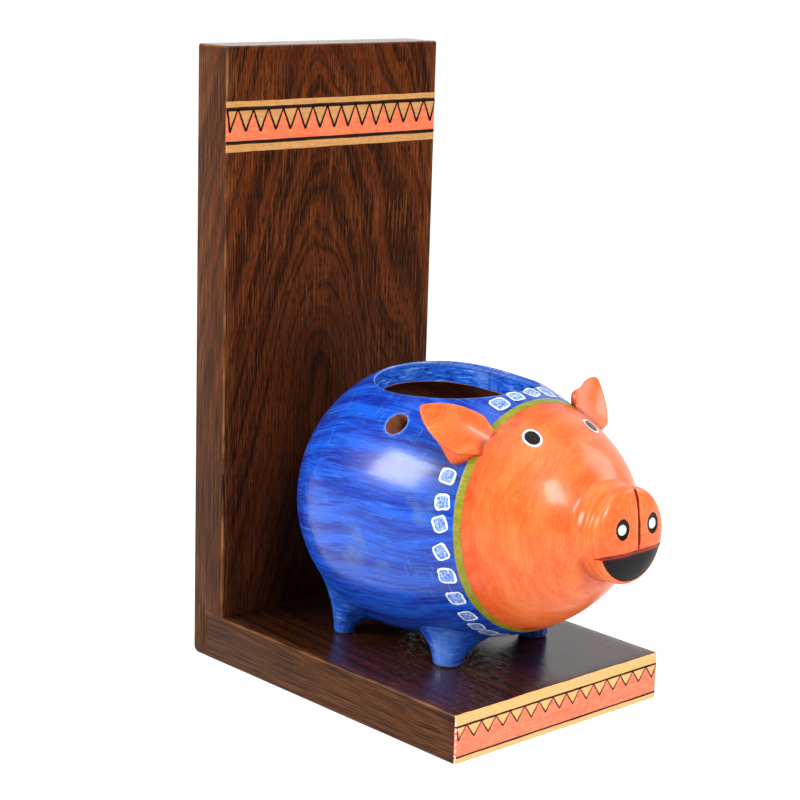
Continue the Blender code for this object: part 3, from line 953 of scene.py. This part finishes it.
def make_snout(orange):
    turn = ring_angles(320)
    start = SNOUT_ROOT + FILLET
    shoulder = SNOUT_END - SNOUT_ROUND
    rows = []
    for ahead in np.linspace(start, shoulder, 22)[:-1]:
        # Three soft rolls round the snout, from the turning of the clay.
        roll = np.cos((ahead - start) / (shoulder - start) * math.tau * 1.5)
        radius = SNOUT_RADIUS + 0.3 * MM * (roll - 1)
        rows.append(snout_place(-radius * np.sin(turn), radius * np.cos(turn), ahead))
    for angle in np.linspace(0.0, math.pi / 2, 26)[:-1]:
        radius = SNOUT_RADIUS * math.cos(angle) ** (2 / SNOUT_POWER)
        if radius < 0.93 * SNOUT_RADIUS:
            break
        rows.append(snout_face(-radius * np.sin(turn), radius * np.cos(turn)))
    for radius in np.linspace(0.93 * SNOUT_RADIUS, 0.0, 60):
        rows.append(snout_face(-radius * np.sin(turn), radius * np.cos(turn)))
    mesh = weld(grid_mesh("snout", rows))
    _, up, ahead = to_pig(vertex_places(mesh))
    # Painted shade round the snout's root, deepest on its underside.
    root = 1 - smoothstep(0.0, 2.2 * MM, abs(ahead - start))
    store(mesh, "crease_shade", 0.7 * root * np.clip(0.3 - up / (25 * MM), 0, 1))
    piece("snout", smooth(mesh, 60.0), [orange], ["snout"])


# ---- ears, legs and tail ----


def make_ear(name, side, length, brow, orange):
    """A cupped leaf of clay; side is 1 for the pig's right ear and -1 for its left.

    length, and brow, how full the upper edge is at its root and at its tip, differ from one
    hand-made ear to the other.
    """
    across = np.array([math.cos(EAR_ROOT_TURN), -math.sin(EAR_ROOT_TURN), 0.0])
    along = (EAR_TIP - EAR_ROOT) * length
    front = np.cross(along, across)
    front /= np.linalg.norm(front)
    if front[2] < 0:
        front = -front
    c, s = superellipse(ring_angles(72), 3.0)
    rows = []
    for u in np.linspace(-0.12, 1.015, 52):
        width = ear_width(u)
        fullness = width / EAR_WIDTH
        thickness = min(EAR_THICKNESS * (0.5 + 0.5 * fullness), 2.2 * width)
        behind = 1 + 1.6 * math.exp(-((max(u, 0.0) / 0.42) ** 2)) * (s < 0)
        cup = EAR_CUP * c**2 * fullness**1.5 - 1.6 * MM * math.sin(math.pi * min(max(u, 0.0), 1.0))
        # Below the root the clay was pressed back and down on to the pot.
        web = EAR_WEB * np.clip(-1.6 * s, 0, 1) * smoothstep(0.1, 0.9, c) * smoothstep(0.62, 0.05, u)
        upper = blend(*brow, smoothstep(0.0, 0.6, u))
        reach = c * width * np.where(c > 0, 0.88, upper) + 0.8 * web
        local = EAR_ROOT + along * u + np.outer(reach, across)
        local = local + np.outer(s * behind * thickness / 2 + cup - 0.5 * web, front)
        rows.append(from_pig(-side * local[:, 0], local[:, 1], local[:, 2]))
    rows = [pinched(rows[0])] + rows + [pinched(rows[-1])]
    mesh = weld(grid_mesh(name, rows))
    points = vertex_places(mesh)
    near = 1 - smoothstep(0.0, 2.2 * MM, -depth_in_wall(points))
    mesh.update()
    cupped_way = from_pig(-side * front[0], front[1], front[2]) - PLACE
    facing = np.array([vertex.normal for vertex in mesh.vertices]) @ cupped_way
    back = smoothstep(0.5, -0.3, facing)
    # Painted shade on the ear close to the pot and on its back side.
    store(mesh, "crease_shade", np.clip(0.95 * near + 0.7 * back, 0, 1))
    store(mesh, "redder", np.clip(0.5 * smoothstep(0.9, 0.3, facing) + 0.6 * near, 0, 1))
    piece(name.replace("ear_", "ear_leaf_"), smooth(mesh, 70.0), [orange], [name])


def ear_width(u):
    """Half the ear's width along its length: a leaf with a round root and a narrow, round tip."""
    root = 0.62 + 0.38 * smoothstep(-0.05, 0.28, u)
    tip = max(0.0, 1.0 - max(0.0, (u - 0.30) / 0.72) ** 2.1) ** 0.78
    return EAR_WIDTH * root * max(tip, 0.02)


def outer_hit(origin, direction):
    """Where rays from outside first touch the egg."""
    origin = np.array(origin)
    direction = np.broadcast_to(direction, origin.shape)
    reach = np.zeros(len(origin))
    for _ in range(400):  # steps of a tenth of a millimetre
        x, up, ahead = to_pig(origin + reach[:, None] * direction)
        clear = np.hypot(x, up) > egg_radius(ahead)
        reach = reach + np.where(clear, 0.1 * MM, 0.0)
    return origin + reach[:, None] * direction


# How wide a leg spreads where it meets the belly, and how much farther it runs outward.
LEG_SPREAD = {"front": (12.0 * MM, 1.1), "rear": (11.5 * MM, 1.8)}


def make_leg(name, blue):
    """A leg pressed on to the belly: a round foot, a short cone and a flare smoothed into the body."""
    low, high = node_box(name.replace("leg", "foot_bond"))
    middle = np.append((low[:2] + high[:2]) / 2, BASE_TOP)
    radius = (high[0] - low[0]) / 2 * 1.08
    spread, outward_share = LEG_SPREAD["front" if "front" in name else "rear"]
    _, _, ahead = to_pig(middle)
    lean = from_pig(0.0, 0.0, ahead) - middle
    lean /= np.linalg.norm(lean)
    side = math.copysign(1.0, middle[0] - PLACE[0])
    angle = ring_angles(96)
    flat = np.stack([np.cos(angle), np.sin(angle), np.zeros(96)], axis=1)
    tilted = flat - np.outer(flat @ lean, lean)
    longer = blend(1.0, outward_share, np.clip(side * np.cos(angle), 0, 1) ** 2)
    dented = 1 + 0.03 * ripple(angle * 2, 90 * middle[1])
    foot = middle + flat * (radius * dented)[:, None]
    ankle = foot + np.array([0.0, 0.0, 1.8 * MM])
    top = outer_hit(middle + tilted * (spread * longer * dented)[:, None], lean)
    cone = outer_hit(ankle, lean + 0.26 * tilted)
    rows = [np.tile(middle, (96, 1)), blend(middle, foot, 0.55)]
    rows += bezier(blend(middle, foot, 0.80), foot, ankle, 8)
    rows += bezier(ankle, blend(blend(ankle, cone, 0.62), top, 0.22), top, 28)[1:]
    rows.append(top + lean * 1.0 * MM)
    mesh = weld(grid_mesh(name, rows))
    store(mesh, "daubed", np.full(len(mesh.vertices), 0.6))
    points = vertex_places(mesh)
    store(mesh, "worn", 0.25 * (1 - smoothstep(0.0, 2 * MM, points[:, 2] - BASE_TOP)))
    # Painted shade on the leg where it meets the belly.
    store(mesh, "crease_shade", 0.55 * smoothstep(1.4 * MM, 0.2 * MM, -depth_in_wall(points)))
    piece(name.replace("leg_", "leg_cone_"), smooth(mesh, 70.0), [blue], [name])


def make_tail(blue):
    """A tapered curl on the rump."""
    low, high = node_box("tail")
    reach = (high[2] - low[2]) / 2
    count = 56
    angle = ring_angles(20)
    path = []
    for i in range(count):
        u = i / (count - 1)
        turn = math.tau * 1.25 * u
        radius = (reach - 1.5 * MM) * (1.0 - 0.35 * u)
        back = EGG_MIDDLE - EGG_REAR - blend(-0.2 * MM, 5.2 * MM, u)
        path.append((radius * math.sin(turn), radius * math.cos(turn), back))
    path = np.array(path)
    tangent = np.gradient(path, axis=0)
    tangent /= np.linalg.norm(tangent, axis=1)[:, None]
    rows = []
    for i, (point, direction) in enumerate(zip(path, tangent)):
        thickness = 1.5 * MM * (1.0 - 0.5 * (i / count) ** 2)
        side = np.cross(direction, (0.0, 0.0, 1.0))
        side /= np.linalg.norm(side)
        above = np.cross(side, direction)
        ring = point + thickness * (np.outer(np.cos(angle), side) + np.outer(np.sin(angle), above))
        rows.append(from_pig(ring[:, 0], ring[:, 1], ring[:, 2]))
    last, end = pinched(rows[-2]), pinched(rows[-1])
    tip = end + (end - last) * 1.2
    rows = [pinched(rows[0])] + rows + [blend(rows[-1], tip, 0.5), tip]
    piece("tail_curl", smooth(weld(grid_mesh("tail", rows)), 70.0), [blue], ["tail"])


# ---- painted marks ----


def filled(outline, rings=8):
    """Rows from an outline in to its middle, for a filled mark."""
    outline = np.array(outline)
    middle = outline.mean(axis=0)
    return np.array([blend(outline, middle, t) for t in np.linspace(0.0, 1.0, rings)])


def stroke(points, half_width, columns=5):
    """Rows across a brush stroke along points; half_width is a number or one for each point."""
    points = np.array(points)
    tangent = np.gradient(points, axis=0)
    normal = np.stack([-tangent[:, 1], tangent[:, 0]], axis=1)
    normal /= np.linalg.norm(normal, axis=1)[:, None]
    width = np.broadcast_to(half_width, len(points))
    shares = np.linspace(-1.0, 1.0, columns)
    return np.stack([points + normal * (width * share)[:, None] for share in shares], axis=0)


def painted(name, marks, material):
    """One piece from thin coats of paint, each (rows, place, wrap).

    rows are rows of flat places, place(x, y) lays them on a surface, and wrap joins their ends.
    """
    bm = bmesh.new()
    for rows, place, wrap in marks:
        mesh = grid_mesh("part", [place(row[:, 0], row[:, 1]) for row in rows], wrap)
        bm.from_mesh(mesh)
        bpy.data.meshes.remove(mesh)
    mesh = bpy.data.meshes.new(name)
    bm.to_mesh(mesh)
    bm.free()
    piece(name, smooth(mesh), [material])


def on_egg(ahead, turn, tilt, lift):
    """Lays flat places round a point of the egg: x goes round the pig and y toward the snout."""
    radius = float(egg_radius(ahead))
    c, s = math.cos(tilt), math.sin(tilt)

    def place(x, y):
        return egg_surface(ahead + x * s + y * c, turn + (x * c - y * s) / radius, lift)

    return place


def on_snout(lift):
    """Lays flat places on the snout's face: x across and y up from its centre."""

    def place(x, y):
        return snout_face(x, y, lift)

    return place


def make_band(olive):
    turn = np.linspace(0.0, math.tau, 361)
    half = 1.35 * MM + 0.12 * MM * ripple(turn * 3, 0.9)
    middle = SEAM + 0.15 * MM * ripple(turn * 2, 2.0)
    rows = []
    for share in np.linspace(-1.0, 1.0, 7):
        proud = 3 * LIFT * (1 - 0.6 * share**4)
        rows.append(egg_surface(middle + half * share, turn, proud))
    piece("seam_band", smooth(grid_mesh("band", rows, False)), [olive])


def square_outline(size, aspect):
    x, y = superellipse(ring_angles(48) + 0.01, 4.2)
    return np.stack([x * size, y * size * aspect], axis=1)


def make_squares(white, wash):
    """The row of small brushed squares behind the band."""
    random = np.random.default_rng(7)
    over_top = [17 - 10.6 * i for i in range(19)]
    near_side = [63, 75, 85, 98, 110, 123, 136, 146, 155, 163]
    rings, fills = [], []
    for degrees in over_top + near_side:
        size = 2.75 * MM * random.uniform(0.88, 1.08)
        outline = square_outline(size, random.uniform(0.82, 1.08))
        wave = 1 + 0.05 * ripple(ring_angles(len(outline)) * 1.5, random.uniform(0, 6))
        outline *= wave[:, None]
        ahead = 60.2 * MM - 3.0 * MM * smoothstep(115, 165, abs(degrees)) + random.uniform(-0.4, 0.4) * MM
        tilt = math.radians(random.uniform(-24, 24))
        turn = math.radians(degrees)
        closed = np.vstack([outline, outline[:2]])
        brush = 0.33 * MM * (1 + 0.45 * ripple(np.linspace(0, 7, len(closed)), random.uniform(0, 6)))
        rings.append((stroke(closed, brush), on_egg(ahead, turn, tilt, 3 * LIFT), False))
        fills.append((filled(outline, 6), on_egg(ahead, turn, tilt, 1.5 * LIFT), True))
    painted("square_washes", fills, wash)
    painted("square_outlines", rings, white)


def oval(width, height, seed):
    """A hand-drawn oval, given half its width and half its height."""
    angle = ring_angles(64)
    wave = 1 + 0.03 * ripple(angle * 2, seed)
    return np.stack([np.cos(angle) * width * wave, np.sin(angle) * height * wave], axis=1)


def make_eyes(white, black):
    whites, blacks = [], []
    slant = math.radians(-45)
    for ahead, degrees, seed in ((77.6 * MM, 25.8, 1.0), (78.2 * MM, -23.6, 2.5)):
        turn = math.radians(degrees)
        white_oval, black_oval = oval(3.1 * MM, 3.75 * MM, seed), oval(2.4 * MM, 2.85 * MM, seed + 1)
        whites.append((filled(white_oval), on_egg(ahead, turn, slant, 2 * LIFT), True))
        blacks.append((filled(black_oval), on_egg(ahead, turn, slant, 4 * LIFT), True))
    painted("eye_whites", whites, white)
    painted("eye_blacks", blacks, black)


def make_snout_marks(white, black, red):
    nostrils, dots = [], []
    for i, place in enumerate(NOSTRILS):
        hollow = oval(2.95 * MM, 3.55 * MM, 1.0 + i) + np.array(place)
        nostrils.append((filled(hollow), on_snout(2 * LIFT), True))
        aside = np.array([place[0] - 0.3 * MM, place[1] - 0.05 * MM])
        dots.append((filled(oval(1.95 * MM, 1.8 * MM, 3.0 + i) + aside), on_snout(4 * LIFT), True))
    painted("nostril_blacks", nostrils, black)
    painted("nostril_dots", dots, white)
    reach = 15.3 * MM
    top = LIP_UP - 0.5 * MM
    start = math.asin(top / reach)
    arc = np.linspace(start, -math.pi - start, 60)
    arc_points = np.stack([np.cos(arc) * reach, np.sin(arc) * reach], axis=1)
    lid = np.linspace(arc_points[-1], arc_points[0], 40)[1:-1]
    outline = np.vstack([arc_points, lid])
    painted("mouth_black", [(filled(outline, 24), on_snout(2 * LIFT), True)], black)
    x = np.linspace(-16.1, 15.9, 60) * MM
    lip = np.stack([x, np.full(60, LIP_UP - 0.35 * MM) + 0.12 * MM * ripple(x / (5 * MM), 1.0)], axis=1)
    width = 0.72 * MM * np.clip((16.6 * MM - abs(x)) / (3 * MM), 0.25, 1.0)
    painted("lip_line", [(stroke(lip, width, 7), on_snout(4 * LIFT), False)], red)
    up = np.linspace(15.6 * MM, LIP_UP + 0.4 * MM, 60)
    line = np.stack([GROOVE_X + 0.12 * MM * ripple(up / (6 * MM), 2.0), up], axis=1)
    width = 0.5 * MM * np.clip((up - LIP_UP) / (3 * MM), 0.5, 1.0)
    painted("groove_line", [(stroke(line, width, 7), on_snout(1.5 * LIFT), False)], red)


# ---- painted borders on the stand ----


def on_wall(y, top, lift):
    """Lays flat places on a board's front, round its softened edges too: x across and z up."""

    def place(x, z):
        over_side = np.clip(abs(x) - (HALF_WIDTH - EDGE_ROUND), 0, EDGE_ROUND)
        over_top = np.clip(abs(z - top / 2) - (top / 2 - EDGE_ROUND), 0, EDGE_ROUND)
        over = np.minimum(np.hypot(over_side, over_top), EDGE_ROUND)
        back = EDGE_ROUND - np.sqrt(EDGE_ROUND**2 - over**2)
        return np.stack([x, y - lift + back, z], axis=-1)

    return place


def strip(low, high, seed, edge=0.10 * MM):
    """A painted stripe right across the board, with hand-drawn edges."""
    x = np.sin(np.linspace(-1.0, 1.0, 201) * math.pi / 2) * (HALF_WIDTH - 0.05 * MM)
    bottom = low + edge * ripple(x / (13 * MM), seed)
    top = high + edge * ripple(x / (11 * MM), seed + 2)
    return np.array([np.stack([x, blend(bottom, top, t)], axis=1) for t in np.linspace(0, 1, 7)])


def triangle_outline(left, right, top, tip):
    """The outline of a small pennant hanging down to its tip."""
    middle = (left + right) / 2
    corners = [(left, top), (middle, tip), (right, top)]
    points = []
    for a, b in zip(corners, corners[1:] + corners[:1]):
        points += [blend(np.array(a), np.array(b), t) for t in np.linspace(0, 1, 8)[:-1]]
    return np.array(points)


def make_border(name, y, board_top, levels, line, paints):
    """Coral ground between two ochre stripes, black lines and a row of pennants.

    levels: bottom of the lower stripe, its top, bottom of the upper stripe, its top, and the tips.
    """
    ochre, coral, black = paints
    bottom, low_line, high_line, top, tips = levels
    random = np.random.default_rng(11)
    pitch = 2 * HALF_WIDTH / 14.6
    inset = 0.35 * MM
    pennant_top = high_line - line / 2 - 0.15 * MM

    def wall(layer):
        return on_wall(y, board_top, layer * LIFT)

    ground = [(strip(low_line, high_line, 0.3, 0.0), wall(1), False)]
    painted(name + "_ground", ground, coral)
    stripes, lines = [], []
    for low, high, seed in ((bottom, low_line - line, 1.0), (high_line + line, top, 2.0)):
        stripes.append((strip(low, high, seed), wall(2), False))
    for level, seed in ((low_line, 3.0), (high_line, 4.0)):
        lines.append((strip(level - line / 2, level + line / 2, seed, 0.06 * MM), wall(4), False))
    for i in range(15):
        tip_x = -HALF_WIDTH + 1.5 * MM + pitch * i + random.uniform(-0.2, 0.2) * MM
        left = max(tip_x - pitch / 2, -HALF_WIDTH + 0.3 * MM)
        right = min(tip_x + pitch / 2, HALF_WIDTH - 0.3 * MM)
        tip = tips + random.uniform(-0.25, 0.25) * MM
        pennant = triangle_outline(left + inset, right - inset, pennant_top, tip + 2 * inset)
        pennant += 0.08 * MM * random.normal(size=pennant.shape)
        stripes.append((filled(pennant, 5), wall(2), True))
        for start in (left, right):
            ends = np.linspace((start, high_line), (tip_x, tip), 12)
            ends[:, 0] += 0.07 * MM * ripple(np.linspace(0, 4, 12), i + start * 50)
            width = line * np.linspace(0.36, 0.52, 12)
            lines.append((stroke(ends, width, 3), wall(4), False))
    painted(name + "_ochre", stripes, ochre)
    painted(name + "_lines", lines, black)


def make_borders():
    coral = brushed_coat("coral_paint", srgb(240, 98, 56), srgb(250, 128, 84), 0.42)
    # Painted light: a lighter copy of the same coral, as if lit more brightly on the front board.
    lit_coral = brushed_coat("lit_coral_paint", srgb(232, 118, 84), srgb(246, 146, 110), 0.42, 0.2)
    black = brushed_coat("border_black", srgb(12, 9, 9), srgb(26, 22, 22), 0.34, 0.1)
    ochre = brushed_coat("ochre_paint", srgb(184, 130, 72), srgb(204, 150, 90), 0.42, 0.2)
    # Painted light: a lighter copy of the same ochre, as if lit more brightly on the front board.
    lit_ochre = brushed_coat("lit_ochre_paint", srgb(244, 182, 112), srgb(250, 196, 130), 0.42, 0.2)
    upright = [level * MM for level in (191.1, 194.6, 206.2, 209.1, 198.3)]
    make_border("upright_border", UPRIGHT_FACE, HEIGHT, upright, 0.85 * MM, (ochre, coral, black))
    base = [level * MM for level in (0.1, 2.5, 13.2, 17.35, 8.4)]
    make_border("front_border", FRONT, BASE_TOP, base, 0.42 * MM, (lit_ochre, lit_coral, black))
    make_chips()


def make_chips():
    """White primer showing where the paint has chipped off the front board's edges."""
    primer = brushed_coat("primer", srgb(214, 208, 200), srgb(240, 238, 234), 0.7)
    wall = on_wall(FRONT, BASE_TOP, 5 * LIFT)
    z = np.linspace(0.6 * MM, 16.6 * MM, 90)
    x = -HALF_WIDTH + 0.25 * MM + 0.10 * MM * ripple(z / (0.9 * MM), 3.0)
    breaks = np.clip(ripple(z / (0.8 * MM), 1.0) + 0.35, 0.02, 1)
    side = stroke(np.stack([x, z], axis=1), 0.24 * MM * breaks, 3)
    x = np.linspace(6 * MM, 17 * MM, 60)
    z = BASE_TOP - 0.30 * MM + 0.06 * MM * ripple(x / (0.9 * MM), 2.0)
    breaks = np.clip(ripple(x / (1.1 * MM), 4.0), 0.02, 1)
    top = stroke(np.stack([x, z], axis=1), 0.22 * MM * breaks, 3)
    painted("edge_chips", [(side, wall, False), (top, wall, False)], primer)


# ---- stage ----


def make_camera():
    azimuth, elevation, roll = (math.radians(value) for value in (-42.92, 12.90, 1.69))
    aim = Vector((-7.2 * MM, 7.1 * MM, 104.2 * MM))
    distance = 0.7706
    turn = Matrix.Rotation(azimuth, 4, "Z") @ Matrix.Rotation(math.pi / 2 - elevation, 4, "X")
    turn = turn @ Matrix.Rotation(roll, 4, "Z")
    data = bpy.data.cameras.new("camera")
    data.lens = 95.85
    data.sensor_width = 36.0
    data.clip_end = 100.0
    camera = bpy.data.objects.new("camera", data)
    camera.matrix_world = Matrix.Translation(aim + turn.to_3x3() @ Vector((0, 0, distance))) @ turn
    bpy.context.scene.collection.objects.link(camera)
    bpy.context.scene.camera = camera


def softbox(name, azimuth, elevation, distance, width, height, power):
    """An area light aimed at the object from a direction, azimuth 0 being the pig's front."""
    a, e = math.radians(azimuth), math.radians(elevation)
    direction = Vector((math.sin(a) * math.cos(e), -math.cos(a) * math.cos(e), math.sin(e)))
    data = bpy.data.lights.new(name, "AREA")
    data.shape = "RECTANGLE"
    data.size = width
    data.size_y = height
    data.energy = power
    light = bpy.data.objects.new(name, data)
    light.location = Vector((0.0, 0.0, 0.08)) + direction * distance
    light.rotation_euler = direction.to_track_quat("Z", "Y").to_euler()
    bpy.context.scene.collection.objects.link(light)


def make_world():
    """A dim studio with a white backdrop standing behind the object."""
    world = bpy.data.worlds.new("studio")
    world.use_nodes = True
    tree = world.node_tree
    direction = tree.nodes.new("ShaderNodeTexCoord").outputs["Generated"]
    toward = tree.nodes.new("ShaderNodeVectorMath")
    toward.operation = "DOT_PRODUCT"
    toward.inputs[1].default_value = (0.68, 0.73, 0.0)
    tree.links.new(direction, toward.inputs[0])
    strength = tree.nodes.new("ShaderNodeMapRange")
    strength.interpolation_type = "SMOOTHSTEP"
    for socket, number in zip(strength.inputs[1:], (0.55, 0.85, 0.14, 1.0)):
        socket.default_value = number
    tree.links.new(toward.outputs["Value"], strength.inputs[0])
    background = tree.nodes["Background"]
    background.inputs["Color"].default_value = (1.0, 1.0, 1.0, 1.0)
    tree.links.new(strength.outputs[0], background.inputs["Strength"])
    bpy.context.scene.world = world


def make_stage():
    bpy.ops.mesh.primitive_plane_add(size=30.0, location=(0, 0, -0.02 * MM))
    floor = bpy.context.object
    floor.name = "floor"
    shader = Shader("white_floor", roughness=0.9)
    shader.principled.inputs["Emission Color"].default_value = (1.0, 1.0, 1.0, 1.0)
    shader.principled.inputs["Emission Strength"].default_value = 0.97
    floor.data.materials.append(shader.finish(srgb(120, 120, 120)))
    make_world()
    softbox("left_softbox", -119, 27, 0.95, 0.36, 0.36, 8.5)
    softbox("front_softbox", -24, 40, 1.1, 0.30, 0.42, 9.0)
    softbox("right_softbox", 70, 35, 1.4, 0.7, 0.7, 8.0)
    softbox("overhead", 10, 88, 1.5, 1.2, 1.2, 8.0)
    bpy.context.scene.view_settings.view_transform = "Standard"


# ---- everything ----


def main():
    blue, orange, clay = blue_paint(), orange_paint(), terracotta()
    white = brushed_coat("white_paint", srgb(196, 214, 238), srgb(250, 251, 252), 0.34)
    black = brushed_coat("black_paint", srgb(9, 6, 5), srgb(22, 18, 16), 0.24, 0.16)
    red = brushed_coat("red_paint", srgb(96, 10, 12), srgb(160, 26, 20), 0.3, 0.15)
    olive = brushed_coat("olive_paint", srgb(122, 122, 22), srgb(148, 146, 44), 0.34)
    make_stand()
    coat_bonds()
    make_screws()
    make_body(blue, clay)
    make_head(orange, clay)
    make_snout(orange)
    make_ear("ear_right", 1, 1.0, (0.76, 0.78), orange)
    make_ear("ear_left", -1, 0.92, (1.5, 0.85), orange)
    for place in ("front_right", "front_left", "rear_right", "rear_left"):
        make_leg("leg_" + place, blue)
    make_tail(blue)
    make_band(olive)
    make_squares(white, wash_paint())
    make_eyes(white, black)
    make_snout_marks(white, black, red)
    make_borders()
    make_camera()
    make_stage()


main()
